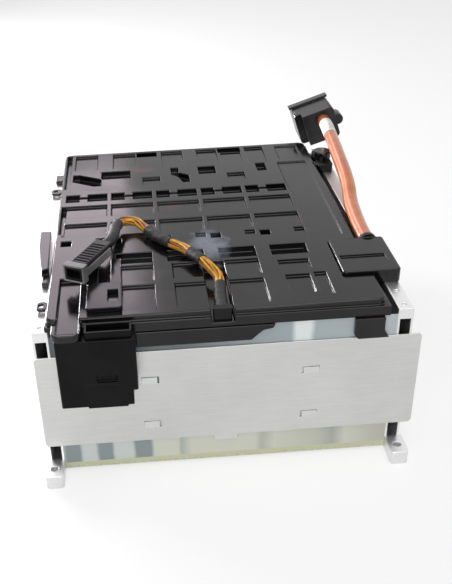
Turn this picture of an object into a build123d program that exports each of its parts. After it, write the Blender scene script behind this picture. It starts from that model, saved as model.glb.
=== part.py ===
from build123d import *
import math
import os

os.makedirs("parts", exist_ok=True)

# Traction battery module: twelve sealed prismatic cells in two rows of six, clamped between
# two hollow end beams by a welded front and rear plate, under a moulded cover that carries the
# cell-monitor unit, its harness and the high-voltage lead.
# Construction axes, mm: X across the module (0 midway between the beams), Y from the front
# plate (0) to the rear, Z up from the underside of the feet.

# --- cells
COLUMNS = 6
CELL_W = 44.2          # thickness of a cell, along X
CELL_D = 173.0         # length of a cell, along Y
CAN_H = 121.0
CAN_EDGE_R = 3.0
TERMINAL_X = 26.0
TERMINAL_Y = 20.0
TERMINAL_H = 3.0
TERMINAL_SPAN = 124.0  # between the two terminals of a cell
VENT_R = 6.0
VENT_T = 0.4
# --- liners and pads
SPACER_T = 0.8
END_LINER_T = 3.2
ROW_GAP = 2.0          # between the two rows of cells
FILM_T = 0.6
PAD_T = 2.5
PAD_Z = 1.5            # underside of the thermal pad
# --- end beams
BEAM_W = 12.6
BEAM_OVER = 12.6       # of the beams' tops over the cells' terminals
BEAM_TOP_WALL = 9.6
BEAM_FLOOR = 9.6
BEAM_WALL = 2.0
WEB_T = 2.4
CHAMBERS = 4
BEAM_EDGE_R = 1.2
FOOT_L = 21.0
FOOT_W = 15.0
FOOT_H = 12.4
FOOT_CORNER = 3.0
FOOT_HOLE_R = 3.4
FOOT_HOLE_OUT = 10.5   # hole centre beyond the plate face
RIVET_R = 1.9
RIVET_DEPTH = 2.0
RIVET_PLACES = (9.0, 30.0)
# --- front and rear plates
PLATE_T = 1.8
PLATE_Z0 = 27.5
PLATE_H = 90.0
PLATE_LEFT_OVER = 1.1   # past the left beam's outer face
PLATE_RIGHT_OVER = 8.1  # past the right beam's outer face
PLATE_R = 3.5
TONGUE_W = 13.0
TONGUE_H = 5.5
TONGUE_SLOT = 1.3
TONGUE_DISH = 0.9
TONGUE_X = (-61.5, 70.5)
TONGUE_Z = (43.5, 88.5)
DROP_TAB_W = 20.0
DROP_TAB_H = 5.0
# --- busbars and their carrier
BUSBAR_T = 1.5
BUSBAR_Y = 18.0
HUMP_R = 6.0
CARRIER_T = 2.0
CARRIER_WALL = 2.2
WINDOW_GAP = 1.5
SKIRT_T = 2.8
SKIRT_H = 13.5
OUT_BAR_W = 11.0
BAR_CLEAR = 0.5        # beside the carrier's wall and inside the hood
BAR_TAIL = 4.2         # past the terminal bolt
# --- top cover
WALL = 2.2
COVER_LOW = 4.6        # of the cover's edge under the beams' tops
FLANGE_H = 4.4         # of the flange over the beams' tops
DECK_H = 5.0           # of the deck over the flange
DECK_INSET = 3.0
COVER_LAP = 2.4        # of the flange over the left beam
COVER_RIGHT = 131.5
COVER_FRONT = 0.3
COVER_REAR_IN = 0.6    # short of the rear plate's outer face
COVER_CORNER_R = 7.0
DECK_EDGE_R = 1.6
POCKET_D = 2.6
SLOT_D = 6.0
SHELF_D = 1.6
LOBE_POCKET_D = 4.0
EYELET_W = 13.0
EYELET_HOLE_R = 2.2
EYELET_PLACES = ((35.0, 8.0), (263.0, 10.0))   # Y of each, and its reach past the edge
LUG_OUT = 7.0
LUG_Y = (290.0, 306.0)
CLIP_OUT = 2.6
VALLEY_X0 = -10.0
VALLEY_X1 = 8.0
VALLEY_Y1 = 84.0
VALLEY_D = 10.0
LOBE_X0 = -134.0
LOBE_X1 = -111.0
LOBE_OUT = 16.0        # reach of the front-left lobe past the plate
# --- monitor unit
HOUSING_X0 = -132.0
HOUSING_W = 61.8
HOUSING_NARROW = 4.0
HOUSING_Z0 = 78.0
HOUSING_STEP_Z = 92.0
HOUSING_D = 15.0
HOUSING_WALL = 2.0
HOUSING_GAP = 0.3      # under the cover's lobe
BOARD_T = 1.6
BOSS_R = 2.6
BOSS_H = 4.0
HEADER_W = 36.0
HEADER_D = 12.5
HEADER_H = 6.5
HEADER_WALL = 1.5
PIN = 1.0
# --- high-voltage side
HOOD_X0 = 103.0
HOOD_X1 = 151.0
HOOD_Y0 = 44.0
HOOD_Y1 = 104.0
HOOD_RISE = 3.0        # over the deck
HOOD_GAP = 0.4
HOOD_ROOF = 4.6
TROUGH_FROM = 18.0     # from the hood's front edge
TROUGH_W = 11.0
TROUGH_L = 41.0
TROUGH_D = 2.0
HV_R = 7.0
HV_GLAND_L = 4.0
HV_GLAND_R = 8.4
BLOCK_X0 = 132.0
BLOCK_L = 40.0
BLOCK_W = 15.4
BLOCK_H = 9.4
BLOCK_BACK = 23.9      # in front of the rear row's rear terminals
CAP_R = 9.4
CAP_H = 8.0
CAP_NOTCHES = 10
BOLT_R = 3.0
BOLT_HEAD_R = 5.0
BOLT_HEAD_H = 3.5
CONNECTOR_W = 44.0
CONNECTOR_L = 46.0
CONNECTOR_H = 36.0
CONNECTOR_ROLL = -18.0
SHROUD_DEPTH = 14.0
# --- low-voltage side
SIDE_HOOD_H = 10.4
LV_R = 4.3
GLAND_Y = 9.0
GLAND_T = 6.0
PLUG_W = 16.0
PLUG_L = 52.0
PLUG_H = 12.0
LOCK_T = 1.4
LOCK_L = 7.0
LOCK_FIT = 0.1         # clearance between the plug and its lock
PLUG_RIBS = 9
PLUG_TURN = -28.2
PLUG_RISE = 13.0       # of the plug's middle over the deck
BRACKET_H = 4.4
BRACKET_ARM = 9.0

# --- derived places
PITCH = CELL_W + SPACER_T
STACK_HALF = (COLUMNS * CELL_W + (COLUMNS - 1) * SPACER_T) / 2
BEAM_IN = STACK_HALF + END_LINER_T
BEAM_OUT = BEAM_IN + BEAM_W
ROW_Y = (PLATE_T + FILM_T, PLATE_T + FILM_T + CELL_D + ROW_GAP)
STACK_END = ROW_Y[1] + CELL_D
DEPTH = STACK_END + FILM_T + PLATE_T
CELL_Z = PAD_Z + PAD_T
CAN_TOP = CELL_Z + CAN_H
TERMINAL_TOP = CAN_TOP + TERMINAL_H
BEAM_H = TERMINAL_TOP + BEAM_OVER
COVER_Z0 = BEAM_H - COVER_LOW
FLANGE_TOP = BEAM_H + FLANGE_H
DECK_TOP = FLANGE_TOP + DECK_H
VALLEY_FLOOR = DECK_TOP - VALLEY_D
HOOD_TOP = DECK_TOP + HOOD_RISE
SKIRT_Z = COVER_Z0 - SKIRT_H
BLOCK_Y = ROW_Y[1] + (CELL_D + TERMINAL_SPAN) / 2 - BLOCK_BACK
CARRIER_TOP = CAN_TOP + CARRIER_T
COVER_LEFT = -(BEAM_IN + COVER_LAP)
COVER_REAR = DEPTH - COVER_REAR_IN
PLATE_X0 = -(BEAM_OUT + PLATE_LEFT_OVER)
PLATE_X1 = BEAM_OUT + PLATE_RIGHT_OVER
HOUSING_TOP = BEAM_H - HOUSING_GAP
FOOT_OUT = BEAM_IN + FOOT_W
COLUMN_X = [(i - (COLUMNS - 1) / 2) * PITCH for i in range(COLUMNS)]
# The stored frame has its origin under the middle of the module's box.
SHIFT = (-(PLATE_X1 - FOOT_OUT) / 2, -DEPTH / 2, 0)


def put(name, shape):
    """Moves a piece from the construction axes into the stored frame and writes it."""
    export_step(Pos(*SHIFT) * shape, f"parts/{name}.step")


def block(x0, x1, y0, y1, z0, z1):
    """A plain box between two corners."""
    centre = Pos((x0 + x1) / 2, (y0 + y1) / 2, (z0 + z1) / 2)
    return centre * Box(x1 - x0, y1 - y0, z1 - z0)


def slab(x0, x1, y0, y1, z0, z1, radius):
    """A box with rounded upright corners."""
    outline = Pos((x0 + x1) / 2, (y0 + y1) / 2, z0) * RectangleRounded(x1 - x0, y1 - y0, radius)
    return extrude(outline, z1 - z0, dir=(0, 0, 1))


def prism(points, z0, z1):
    """An upright prism on an outline in plan."""
    outline = Pos(0, 0, z0) * make_face(Polyline(points, close=True))
    return extrude(outline, z1 - z0, dir=(0, 0, 1))


def front_prism(points, y0, y1):
    """A prism along Y on an outline drawn in X and Z."""
    outline = make_face(Polyline([(x, y0, z) for x, z in points], close=True))
    return extrude(outline, y1 - y0, dir=(0, 1, 0))


def upright(x, y, z0, z1, radius):
    """A vertical cylinder."""
    return Pos(x, y, (z0 + z1) / 2) * Cylinder(radius, z1 - z0)


def level(x, y0, y1, z, radius):
    """A cylinder along Y."""
    return Pos(x, (y0 + y1) / 2, z) * Rot(90, 0, 0) * Cylinder(radius, y1 - y0)


def joined(pieces):
    """Several solids fused into one shape."""
    return pieces[0].fuse(*pieces[1:])


def mirrored_rear(shape):
    """The same piece at the rear end of the module."""
    return mirror(shape, about=Plane.XZ.offset(-DEPTH / 2))


# --- end beams: one extrusion each, cut longer at the foot
def end_beam():
    """The right-hand beam; the left one is its mirror image."""
    outline = Rectangle(BEAM_W, BEAM_H)
    outline = fillet(outline.vertices(), BEAM_EDGE_R)
    rise = (BEAM_H - BEAM_TOP_WALL - BEAM_FLOOR - (CHAMBERS - 1) * WEB_T) / CHAMBERS
    for i in range(CHAMBERS):
        middle = BEAM_FLOOR + rise / 2 + i * (rise + WEB_T) - BEAM_H / 2
        outline -= Pos(0, middle) * Rectangle(BEAM_W - 2 * BEAM_WALL, rise)
    length = DEPTH - 2 * PLATE_T
    section = Pos(BEAM_IN + BEAM_W / 2, PLATE_T, BEAM_H / 2) * Rot(90, 0, 0) * outline
    beam = extrude(section, length, dir=(0, 1, 0))
    foot = block(BEAM_IN, FOOT_OUT, -FOOT_L, PLATE_T, 0, FOOT_H)
    corner = foot.edges().filter_by(Axis.Z).sort_by(Axis.Y)[:2]
    foot = fillet(corner, FOOT_CORNER)
    hole_x = (BEAM_IN + FOOT_OUT) / 2
    foot -= upright(hole_x, -FOOT_HOLE_OUT, -1, FOOT_H + 1, FOOT_HOLE_R)
    for place in RIVET_PLACES:
        rivet = upright(BEAM_IN + BEAM_W / 2, place, BEAM_H - RIVET_DEPTH, BEAM_H + 1, RIVET_R)
        beam -= rivet
        beam -= mirrored_rear(rivet)
    return joined([beam, foot, mirrored_rear(foot)])


right_beam = end_beam()
put("beam_right", right_beam)
put("beam_left", mirror(right_beam, about=Plane.YZ))


# --- clamping plates, with four lanced tongues and a short drop tab
def clamp_plate():
    """The front plate, its face at Y = 0."""
    middle = (PLATE_X0 + PLATE_X1) / 2
    outline = RectangleRounded(PLATE_X1 - PLATE_X0, PLATE_H, PLATE_R)
    outline = Pos(middle, PLATE_Z0 + PLATE_H / 2) * outline
    outline += Pos(0, PLATE_Z0 - DROP_TAB_H / 2 + 1) * Rectangle(DROP_TAB_W, DROP_TAB_H + 2)
    sheet = extrude(Rot(90, 0, 0) * outline, PLATE_T, dir=(0, 1, 0))
    for x in TONGUE_X:
        inward = 1 if x < 0 else -1
        for z in TONGUE_Z:
            top = z + TONGUE_H / 2
            side = x + inward * TONGUE_W / 2
            sheet -= block(x - TONGUE_W / 2, x + TONGUE_W / 2, -1, PLATE_T + 1, top, top + TONGUE_SLOT)
            edge = sorted((side, side + inward * TONGUE_SLOT))
            sheet -= block(edge[0], edge[1], -1, PLATE_T + 1, z - TONGUE_H / 2, top + TONGUE_SLOT)
            dish = [(0, top), (TONGUE_DISH, top), (0, z - TONGUE_H / 2)]
            wedge = make_face(Polyline([(x - TONGUE_W / 2, y, h) for y, h in dish], close=True))
            sheet -= extrude(wedge, TONGUE_W, dir=(1, 0, 0))
    return sheet


front_plate = clamp_plate()
put("front_plate", front_plate)
put("rear_plate", mirrored_rear(front_plate))


# --- cells, liners and pads
def cell():
    """One sealed can with its two terminals, its front face at Y = 0."""
    can = slab(-CELL_W / 2, CELL_W / 2, 0, CELL_D, CELL_Z, CAN_TOP, CAN_EDGE_R)
    can += upright(0, CELL_D / 2, CAN_TOP, CAN_TOP + VENT_T, VENT_R)
    for end in (-1, 1):
        y = CELL_D / 2 + end * TERMINAL_SPAN / 2
        can += Pos(0, y, CAN_TOP + TERMINAL_H / 2) * Box(TERMINAL_X, TERMINAL_Y, TERMINAL_H)
    return can


can = cell()
for row, y in enumerate(ROW_Y):
    for column, x in enumerate(COLUMN_X):
        put(f"cell_{row * COLUMNS + column + 1:02d}", Pos(x, y, 0) * can)

for i in range(COLUMNS - 1):
    x = COLUMN_X[i] + CELL_W / 2
    put(f"cell_spacer_{i + 1}", block(x, x + SPACER_T, ROW_Y[0], STACK_END, CELL_Z, CAN_TOP))

for name, x0 in (("end_liner_left", -BEAM_IN), ("end_liner_right", STACK_HALF)):
    put(name, block(x0, x0 + END_LINER_T, ROW_Y[0], STACK_END, CELL_Z, CAN_TOP))

front_film = block(-BEAM_IN, BEAM_IN, PLATE_T, PLATE_T + FILM_T, CELL_Z, COVER_Z0)
put("front_film", front_film)
put("rear_film", mirrored_rear(front_film))
put("thermal_pad", block(-BEAM_IN, BEAM_IN, PLATE_T, DEPTH - PLATE_T, PAD_Z, CELL_Z))


# --- busbars: eleven links in series, and the two output bars
def terminal_y(row, end):
    """Y of a terminal: end -1 is nearer the front plate, +1 nearer the rear."""
    return ROW_Y[row] + CELL_D / 2 + end * TERMINAL_SPAN / 2


def link_bar(length):
    """A link along X between two terminals, with an expansion hump at its middle."""
    bar = Pos(0, 0, BUSBAR_T / 2) * Box(length, BUSBAR_Y, BUSBAR_T)
    bar -= Box(2 * (HUMP_R - BUSBAR_T), BUSBAR_Y + 2, 4 * BUSBAR_T)
    ring = Rot(90, 0, 0) * (Cylinder(HUMP_R, BUSBAR_Y) - Cylinder(HUMP_R - BUSBAR_T, BUSBAR_Y + 2))
    hump = ring & Pos(0, 0, HUMP_R / 2) * Box(2 * HUMP_R, BUSBAR_Y, HUMP_R)
    return bar + hump


column_link = link_bar(PITCH + TERMINAL_Y)
links = []
for row in (0, 1):
    outer = -1 if row == 0 else 1
    for i in range(COLUMNS - 1):
        end = outer if i % 2 == 0 else -outer
        x = (COLUMN_X[i] + COLUMN_X[i + 1]) / 2
        links.append(Pos(x, terminal_y(row, end), TERMINAL_TOP) * column_link)
mid_y = (terminal_y(0, 1) + terminal_y(1, -1)) / 2
row_link = Rot(0, 0, 90) * link_bar(terminal_y(1, -1) - terminal_y(0, 1) + TERMINAL_Y)
links.append(Pos(COLUMN_X[0], mid_y, TERMINAL_TOP) * row_link)
for number, link in enumerate(links):
    put(f"busbar_{number + 1:02d}", link)

OUT_X0 = COVER_RIGHT - CARRIER_WALL - BAR_CLEAR - OUT_BAR_W
OUT_BEND_Z = BEAM_H + BUSBAR_T
HOOD_BAR_Y = HOOD_Y0 + HOOD_GAP + 30.0
BAR_RISE_X = OUT_X0 + OUT_BAR_W - BUSBAR_T
BEAM_MID = BEAM_IN + BEAM_W / 2


def output_bar(start_y, end_y):
    """From a free terminal along the module's side, up, and out over the right beam."""
    low = sorted((start_y, end_y))
    half = OUT_BAR_W / 2
    under = TERMINAL_TOP
    over = TERMINAL_TOP + BUSBAR_T
    bend = OUT_BEND_Z + BUSBAR_T
    along = block(OUT_X0, OUT_X0 + OUT_BAR_W, low[0] - half, low[1] + half, under, over)
    stub = block(COLUMN_X[-1] - half, OUT_X0 + 1, start_y - half, start_y + half, under, over)
    riser = block(BAR_RISE_X, BAR_RISE_X + BUSBAR_T, end_y - half, end_y + half, under, bend)
    tail = block(BAR_RISE_X, BEAM_MID + BAR_TAIL, end_y - half, end_y + half, OUT_BEND_Z, bend)
    hole = upright(BEAM_MID, end_y, OUT_BEND_Z - 1, bend + 1, BOLT_R)
    return joined([along, stub, riser, tail]) - hole


put("output_bar_front", output_bar(terminal_y(0, 1), HOOD_BAR_Y))
put("output_bar_rear", output_bar(terminal_y(1, -1), BLOCK_Y))
bolts = []
for y in (HOOD_BAR_Y, BLOCK_Y):
    shank = upright(BEAM_MID, y, BEAM_H, OUT_BEND_Z + BUSBAR_T, BOLT_R)
    hexagon = extrude(RegularPolygon(BOLT_HEAD_R, 6), BOLT_HEAD_H)
    head = Pos(BEAM_MID, y, OUT_BEND_Z + BUSBAR_T) * hexagon
    bolts.append(shank + head)
put("terminal_bolts", Compound(children=bolts))

# --- busbar carrier: a windowed plate with a wall under the cover's edge and a front skirt
wall_x1 = COVER_RIGHT
inner_x1 = wall_x1 - CARRIER_WALL
wall_y0 = PLATE_T + FILM_T
inner_y0 = wall_y0 + CARRIER_WALL
inner_y1 = STACK_END - CARRIER_WALL
carrier = block(-BEAM_IN, BEAM_IN, wall_y0, STACK_END, CAN_TOP, CARRIER_TOP)
ring = block(-BEAM_IN, wall_x1, wall_y0, STACK_END, CARRIER_TOP, COVER_Z0)
ring -= block(-BEAM_IN + CARRIER_WALL, inner_x1, inner_y0, inner_y1, CARRIER_TOP - 1, COVER_Z0 + 1)
bar_slot = OUT_BAR_W / 2 + WINDOW_GAP
for y in (HOOD_BAR_Y, BLOCK_Y):
    ring -= block(inner_x1 - 1, wall_x1 + 1, y - bar_slot, y + bar_slot, TERMINAL_TOP, COVER_Z0 + 1)
carrier += ring
windows = []
for row in (0, 1):
    for end in (-1, 1):
        y = terminal_y(row, end)
        for x in COLUMN_X:
            window = Box(TERMINAL_X + 2 * WINDOW_GAP, TERMINAL_Y + 2 * WINDOW_GAP, 4 * CARRIER_T)
            windows.append(Pos(x, y, CAN_TOP) * window)
    for x in COLUMN_X:
        windows.append(upright(x, ROW_Y[row] + CELL_D / 2, CAN_TOP - 1, CARRIER_TOP + 1, VENT_R + WINDOW_GAP))
carrier = carrier.cut(*windows)
put("busbar_carrier", carrier)

hx0 = HOUSING_X0
hx1 = HOUSING_X0 + HOUSING_W
skirt_left = hx1 + HOUSING_GAP
skirt_outline = [
    (skirt_left, SKIRT_Z), (21.0, SKIRT_Z), (30.5, COVER_Z0 - 5.0), (38.5, COVER_Z0 - 3.5), (40.0, COVER_Z0),
    (skirt_left, COVER_Z0),
]
put("front_skirt", front_prism(skirt_outline, PLATE_T - SKIRT_T, PLATE_T))

# --- top cover: a moulded tray of even wall, with rows of pockets and slots over the cells
RIB = 4.5
POCKET_HALF = PITCH / 2 - RIB / 2
pockets = []           # (x0, x1, y0, y1, depth)


def pocket(x0, x1, y0, y1, depth=POCKET_D):
    pockets.append((x0, x1, y0, y1, depth))


for x in COLUMN_X[:5]:
    left = x - POCKET_HALF
    right = x + POCKET_HALF
    pocket(left, right, 146.0, 172.0)                 # pads over the front row's terminals
    pocket(left, right, 186.0, 212.0)                 # pads over the rear row's terminals
    pocket(left, left + 13.0, 222.0, 239.0, SLOT_D)   # paired slots over the gap between the rows
    pocket(right - 19.0, right, 222.0, 239.0, SLOT_D)
    pocket(left + 13.0, right - 19.0, 228.0, 233.0, POCKET_D)
    pocket(left, left + 9.0, 127.0, 137.0, SLOT_D)    # locating marks in front of the front pads
    pocket(right - 9.0, right, 130.0, 139.0, POCKET_D)
for x in COLUMN_X[1:5]:
    left = x - POCKET_HALF + 4.0
    right = x + POCKET_HALF - 5.0
    pocket(left, right, 88.0, 107.0, SLOT_D)          # long slots
    if x < 50.0:
        pocket(left + 3.0, right, 58.0, 84.0)
        pocket(left + 3.0, right, 12.0, 50.0)
pocket(54.0, 80.0, 62.0, 78.0)
pocket(56.0, 76.0, 22.0, 52.0)
pocket(80.0, 90.0, 18.0, 54.0)
rear_pads = (
    (-127.0, -103.0, 304.0), (-86.0, -62.0, 304.0), (-33.0, -10.0, 306.0), (6.0, 28.0, 306.0),
    (32.0, 54.0, 306.0), (60.0, 80.0, 300.0),
)
for x0, x1, y0 in rear_pads:
    pocket(x0, x1, y0, 345.0)                         # pads along the rear edge
for x0, x1 in ((-60.0, -38.0), (30.0, 55.0)):
    pocket(x0, x1, 333.0, 346.0, SLOT_D)
deep_slots = (
    (-98.0, -68.0, 276.0, 296.0), (4.0, 22.0, 276.0, 296.0), (66.0, 76.0, 276.0, 297.0),
    (-136.0, -131.0, 255.0, 346.0), (-136.0, -132.0, 152.0, 212.0),
)
for x0, x1, y0, y1 in deep_slots:
    pocket(x0, x1, y0, y1, SLOT_D)
for x in (-46.5, 42.0):
    pocket(x - 9.0, x + 9.0, 256.0, 275.0)            # small sunk windows
pocket(90.0, 120.0, 120.0, 296.0, SHELF_D)            # low shelf along the right side
pocket(94.0, 118.0, 304.0, 343.0, SHELF_D)
pocket(LOBE_X0 + 4.0, LOBE_X1 - 2.0, -LOBE_OUT + 3.5, 68.0, LOBE_POCKET_D)

angled_slot = [
    (-128.0, 291.0), (-122.0, 291.0), (-99.0, 277.0), (-99.0, 259.0), (-106.0, 259.0), (-128.0, 273.0),
]
stepped_slot = [
    (-25.0, 297.0), (-17.0, 297.0), (-17.0, 283.0), (-7.0, 275.0), (-7.0, 257.0), (-14.0, 257.0),
    (-18.0, 271.0), (-25.0, 279.0),
]


def grown(points, by):
    """A prism outline moved outwards by a wall."""
    return offset(make_face(Polyline(points, close=True)), by, kind=Kind.INTERSECTION)


skirt_x0 = -BEAM_IN + HOOD_GAP
cover_body = block(skirt_x0, COVER_RIGHT, COVER_FRONT, COVER_REAR - PLATE_T, COVER_Z0, FLANGE_TOP)
flange = slab(COVER_LEFT, COVER_RIGHT, COVER_FRONT, COVER_REAR, BEAM_H, FLANGE_TOP, 2.0)
lobe = slab(LOBE_X0, LOBE_X1, -LOBE_OUT, 20.0, BEAM_H, FLANGE_TOP + 2.0, COVER_CORNER_R)
deck = slab(COVER_LEFT + DECK_INSET / 2, COVER_RIGHT - DECK_INSET, COVER_FRONT + DECK_INSET,
            COVER_REAR - DECK_INSET / 2, FLANGE_TOP, DECK_TOP, COVER_CORNER_R)
deck -= slab(VALLEY_X0, VALLEY_X1, -LOBE_OUT, VALLEY_Y1, FLANGE_TOP - 1, DECK_TOP + 1, 3.0)
deck = fillet(deck.faces().sort_by(Axis.Z)[-1].edges(), DECK_EDGE_R)
cover = joined([cover_body, flange, lobe, deck])

void = block(skirt_x0 + WALL, COVER_RIGHT - DECK_INSET - WALL, COVER_FRONT + DECK_INSET + WALL,
             COVER_REAR - DECK_INSET - WALL, COVER_Z0 - 1, DECK_TOP - WALL)
cuts = [block(x0, x1, y0, y1, DECK_TOP - d, DECK_TOP + 1) for x0, x1, y0, y1, d in pockets]
cuts.append(block(VALLEY_X0, VALLEY_X1, -LOBE_OUT, VALLEY_Y1 - 3.0, VALLEY_FLOOR, DECK_TOP + 1))
notch_x = HOOD_X0 - HOOD_GAP
notch_y0 = HOOD_Y0 - HOOD_GAP
notch_y1 = HOOD_Y1 + HOOD_GAP
cuts.append(block(notch_x, COVER_RIGHT + 1, notch_y0, notch_y1, COVER_Z0 - 1, DECK_TOP + 1))
backs = []             # the material left behind each pocket, slot and notch
for x0, x1, y0, y1, d in pockets:
    backs.append(block(x0 - WALL, x1 + WALL, y0 - WALL, y1 + WALL, DECK_TOP - d - WALL, DECK_TOP))
backs.append(block(VALLEY_X0 - WALL, VALLEY_X1 + WALL, -LOBE_OUT, VALLEY_Y1 + WALL,
                   VALLEY_FLOOR - WALL, DECK_TOP))
backs.append(block(notch_x - WALL, COVER_RIGHT + 1, notch_y0 - WALL, notch_y1 + WALL,
                   COVER_Z0 - 1, DECK_TOP))
for outline in (angled_slot, stepped_slot):
    cuts.append(prism(outline, DECK_TOP - SLOT_D, DECK_TOP + 1))
    shell = Pos(0, 0, DECK_TOP - SLOT_D - WALL) * grown(outline, WALL)
    backs.append(extrude(shell, SLOT_D + WALL, dir=(0, 0, 1)))
cover = cover.cut(*cuts).cut(void.cut(*backs))
bar_way_top = OUT_BEND_Z + BUSBAR_T + WINDOW_GAP
cover -= block(COVER_RIGHT - DECK_INSET - 2 * WALL, COVER_RIGHT + 1, BLOCK_Y - bar_slot, BLOCK_Y + bar_slot,
               COVER_Z0 - 1, bar_way_top)
# Moulded eyelets along the left edge, for cable ties
half = EYELET_W / 2
for y, reach in EYELET_PLACES:
    ring_x = COVER_LEFT - reach / 2
    eyelet = slab(COVER_LEFT - reach, COVER_LEFT + 1, y - half, y + half, BEAM_H + 2.0, FLANGE_TOP, 4.0)
    cover += eyelet - upright(ring_x, y, BEAM_H, FLANGE_TOP + 1, EYELET_HOLE_R)
cover += block(COVER_LEFT - LUG_OUT, COVER_LEFT + 1, LUG_Y[0], LUG_Y[1], BEAM_H, FLANGE_TOP)
put("top_cover", cover)

# --- front clip: presses the cover's edge down and hooks over the front plate
PLATE_TOP = PLATE_Z0 + PLATE_H
clip_outline = [
    (103.0, COVER_Z0), (127.0, COVER_Z0), (127.0, PLATE_TOP + 6.5), (131.0, PLATE_TOP),
    (106.0, PLATE_TOP), (103.0, PLATE_TOP + 3.5),
]
put("front_clip", front_prism(clip_outline, -CLIP_OUT, PLATE_T))

# --- cell-monitor unit, hung on the front plate
narrow = hx1 - HOUSING_NARROW
lip_z = HOUSING_Z0 - 1.6
housing_outline = [
    (hx0, HOUSING_Z0), (hx0 + 21.0, HOUSING_Z0), (hx0 + 21.0, lip_z), (hx0 + 53.0, lip_z),
    (hx0 + 53.0, HOUSING_Z0), (narrow, HOUSING_Z0), (narrow, HOUSING_STEP_Z), (hx1, HOUSING_STEP_Z),
    (hx1, HOUSING_TOP), (hx0, HOUSING_TOP),
]
housing = front_prism(housing_outline, -HOUSING_D, 0)
upright_edges = housing.edges().filter_by(Axis.Z).filter_by(lambda e: e.length > 30.0).sort_by(Axis.Y)[:2]
housing = fillet(upright_edges, 1.5)
inner = HOUSING_WALL
housing -= block(hx0 + inner, narrow - inner, -HOUSING_D + inner, 1, HOUSING_Z0 + inner, HOUSING_TOP - inner)
board_x0 = hx0 + inner + 1.0
board_x1 = narrow - inner - 1.0
board_z0 = HOUSING_Z0 + inner + 2.0
board_z1 = HOUSING_TOP - inner - 2.0
board_y = -HOUSING_D + inner + BOSS_H
for x in (board_x0 + BOSS_R, board_x1 - BOSS_R):
    for z in (board_z0 + BOSS_R, board_z1 - BOSS_R):
        housing += level(x, -HOUSING_D + inner - 0.5, board_y, z, BOSS_R)
ledge_x0 = hx0 + 20.0
ledge_z = HOUSING_STEP_Z + 7.0
housing += block(ledge_x0, ledge_x0 + 27.0, -HOUSING_D - 1.2, -HOUSING_D + 0.5, ledge_z, ledge_z + 2.6)
mouth_x = ledge_x0 + 18.0
mouth_y = -HOUSING_D + 1.4
housing -= block(mouth_x - 8.0, mouth_x + 8.0, -HOUSING_D - 2.0, mouth_y, ledge_z + 2.6, ledge_z + 9.0)
for i in range(3):
    x = mouth_x - 4.5 + 4.5 * i
    housing += block(x - PIN, x + PIN, -HOUSING_D + 0.4, -HOUSING_D + 1.6, ledge_z + 4.0, ledge_z + 7.5)
put("monitor_housing", housing)

board = block(board_x0, board_x1, board_y, board_y + BOARD_T, board_z0, board_z1)
for column in range(3):
    for line in range(2):
        x = board_x0 + 12.0 + 14.0 * column
        z = board_z0 + 16.0 + 20.0 * line
        chip = block(x - 4.0, x + 4.0, board_y + BOARD_T, board_y + BOARD_T + 1.8, z - 4.0, z + 4.0)
        board += chip
put("monitor_board", board)

header_x1 = hx1 - 2.4
header_x0 = header_x1 - HEADER_W
header_y1 = COVER_FRONT - HOUSING_GAP
header_y0 = header_y1 - HEADER_D
header_top = HOUSING_TOP + HEADER_H
header = slab(header_x0, header_x1, header_y0, header_y1, HOUSING_TOP, header_top, 1.2)
header -= block(header_x0 + HEADER_WALL, header_x1 - HEADER_WALL, header_y0 + HEADER_WALL,
                header_y1 - HEADER_WALL, HOUSING_TOP + HEADER_WALL, header_top + 1)
for i in range(8):
    x = header_x0 + 6.0 + i * (HEADER_W - 12.0) / 7
    y = header_y0 + 3.6
    header += block(x - PIN / 2, x + PIN / 2, y - PIN / 2, y + PIN / 2, HOUSING_TOP + 1.0, header_top - 2.0)
put("socket_header", header)

# --- docking bracket on the cover, behind the header: a plate with two rearward arms
bx0 = -107.0
bx1 = -79.0
arm_top = DECK_TOP + BRACKET_H - 1.0
bracket = slab(bx0, bx1, 10.0, 50.0, DECK_TOP, DECK_TOP + BRACKET_H, 2.5)
bracket += block(bx0, bx0 + BRACKET_ARM, 46.0, 98.0, DECK_TOP, arm_top)
bracket += block(bx1 - BRACKET_ARM, bx1, 46.0, 92.0, DECK_TOP, arm_top)
bracket -= slab(-90.0, -82.0, 20.0, 38.0, DECK_TOP - 1, DECK_TOP + BRACKET_H + 1, 1.0)
put("docking_bracket", bracket)

# --- high-voltage hood over the front output bar
hood = slab(HOOD_X0, HOOD_X1, HOOD_Y0, HOOD_Y1, BEAM_H, HOOD_TOP, 3.0)
hood = fillet(hood.faces().sort_by(Axis.Z)[-1].edges(), 1.2)
skirt = block(HOOD_X0, COVER_RIGHT, HOOD_Y0, HOOD_Y1, COVER_Z0, BEAM_H + 1)
hood += skirt
hood -= block(HOOD_X0 + WALL, HOOD_X1 - WALL, HOOD_Y0 + WALL, HOOD_Y1 - WALL, COVER_Z0 - 1,
              HOOD_TOP - HOOD_ROOF)
trough_y = HOOD_Y0 + TROUGH_FROM
hood -= block(HOOD_X0 + 3.0, HOOD_X0 + TROUGH_L, trough_y, trough_y + TROUGH_W, HOOD_TOP - TROUGH_D,
              HOOD_TOP + 1)
gland_x = 138.6
gland_z = BEAM_H + HV_R
gland = level(gland_x, HOOD_Y1 - 1, HOOD_Y1 + HV_GLAND_L, gland_z, HV_GLAND_R)
gland &= block(COVER_RIGHT + HOOD_GAP, gland_x + 20, HOOD_Y1 - 2, HOOD_Y1 + 20, BEAM_H, HOOD_TOP + 10)
hood += gland
put("hv_hood", hood)

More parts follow.
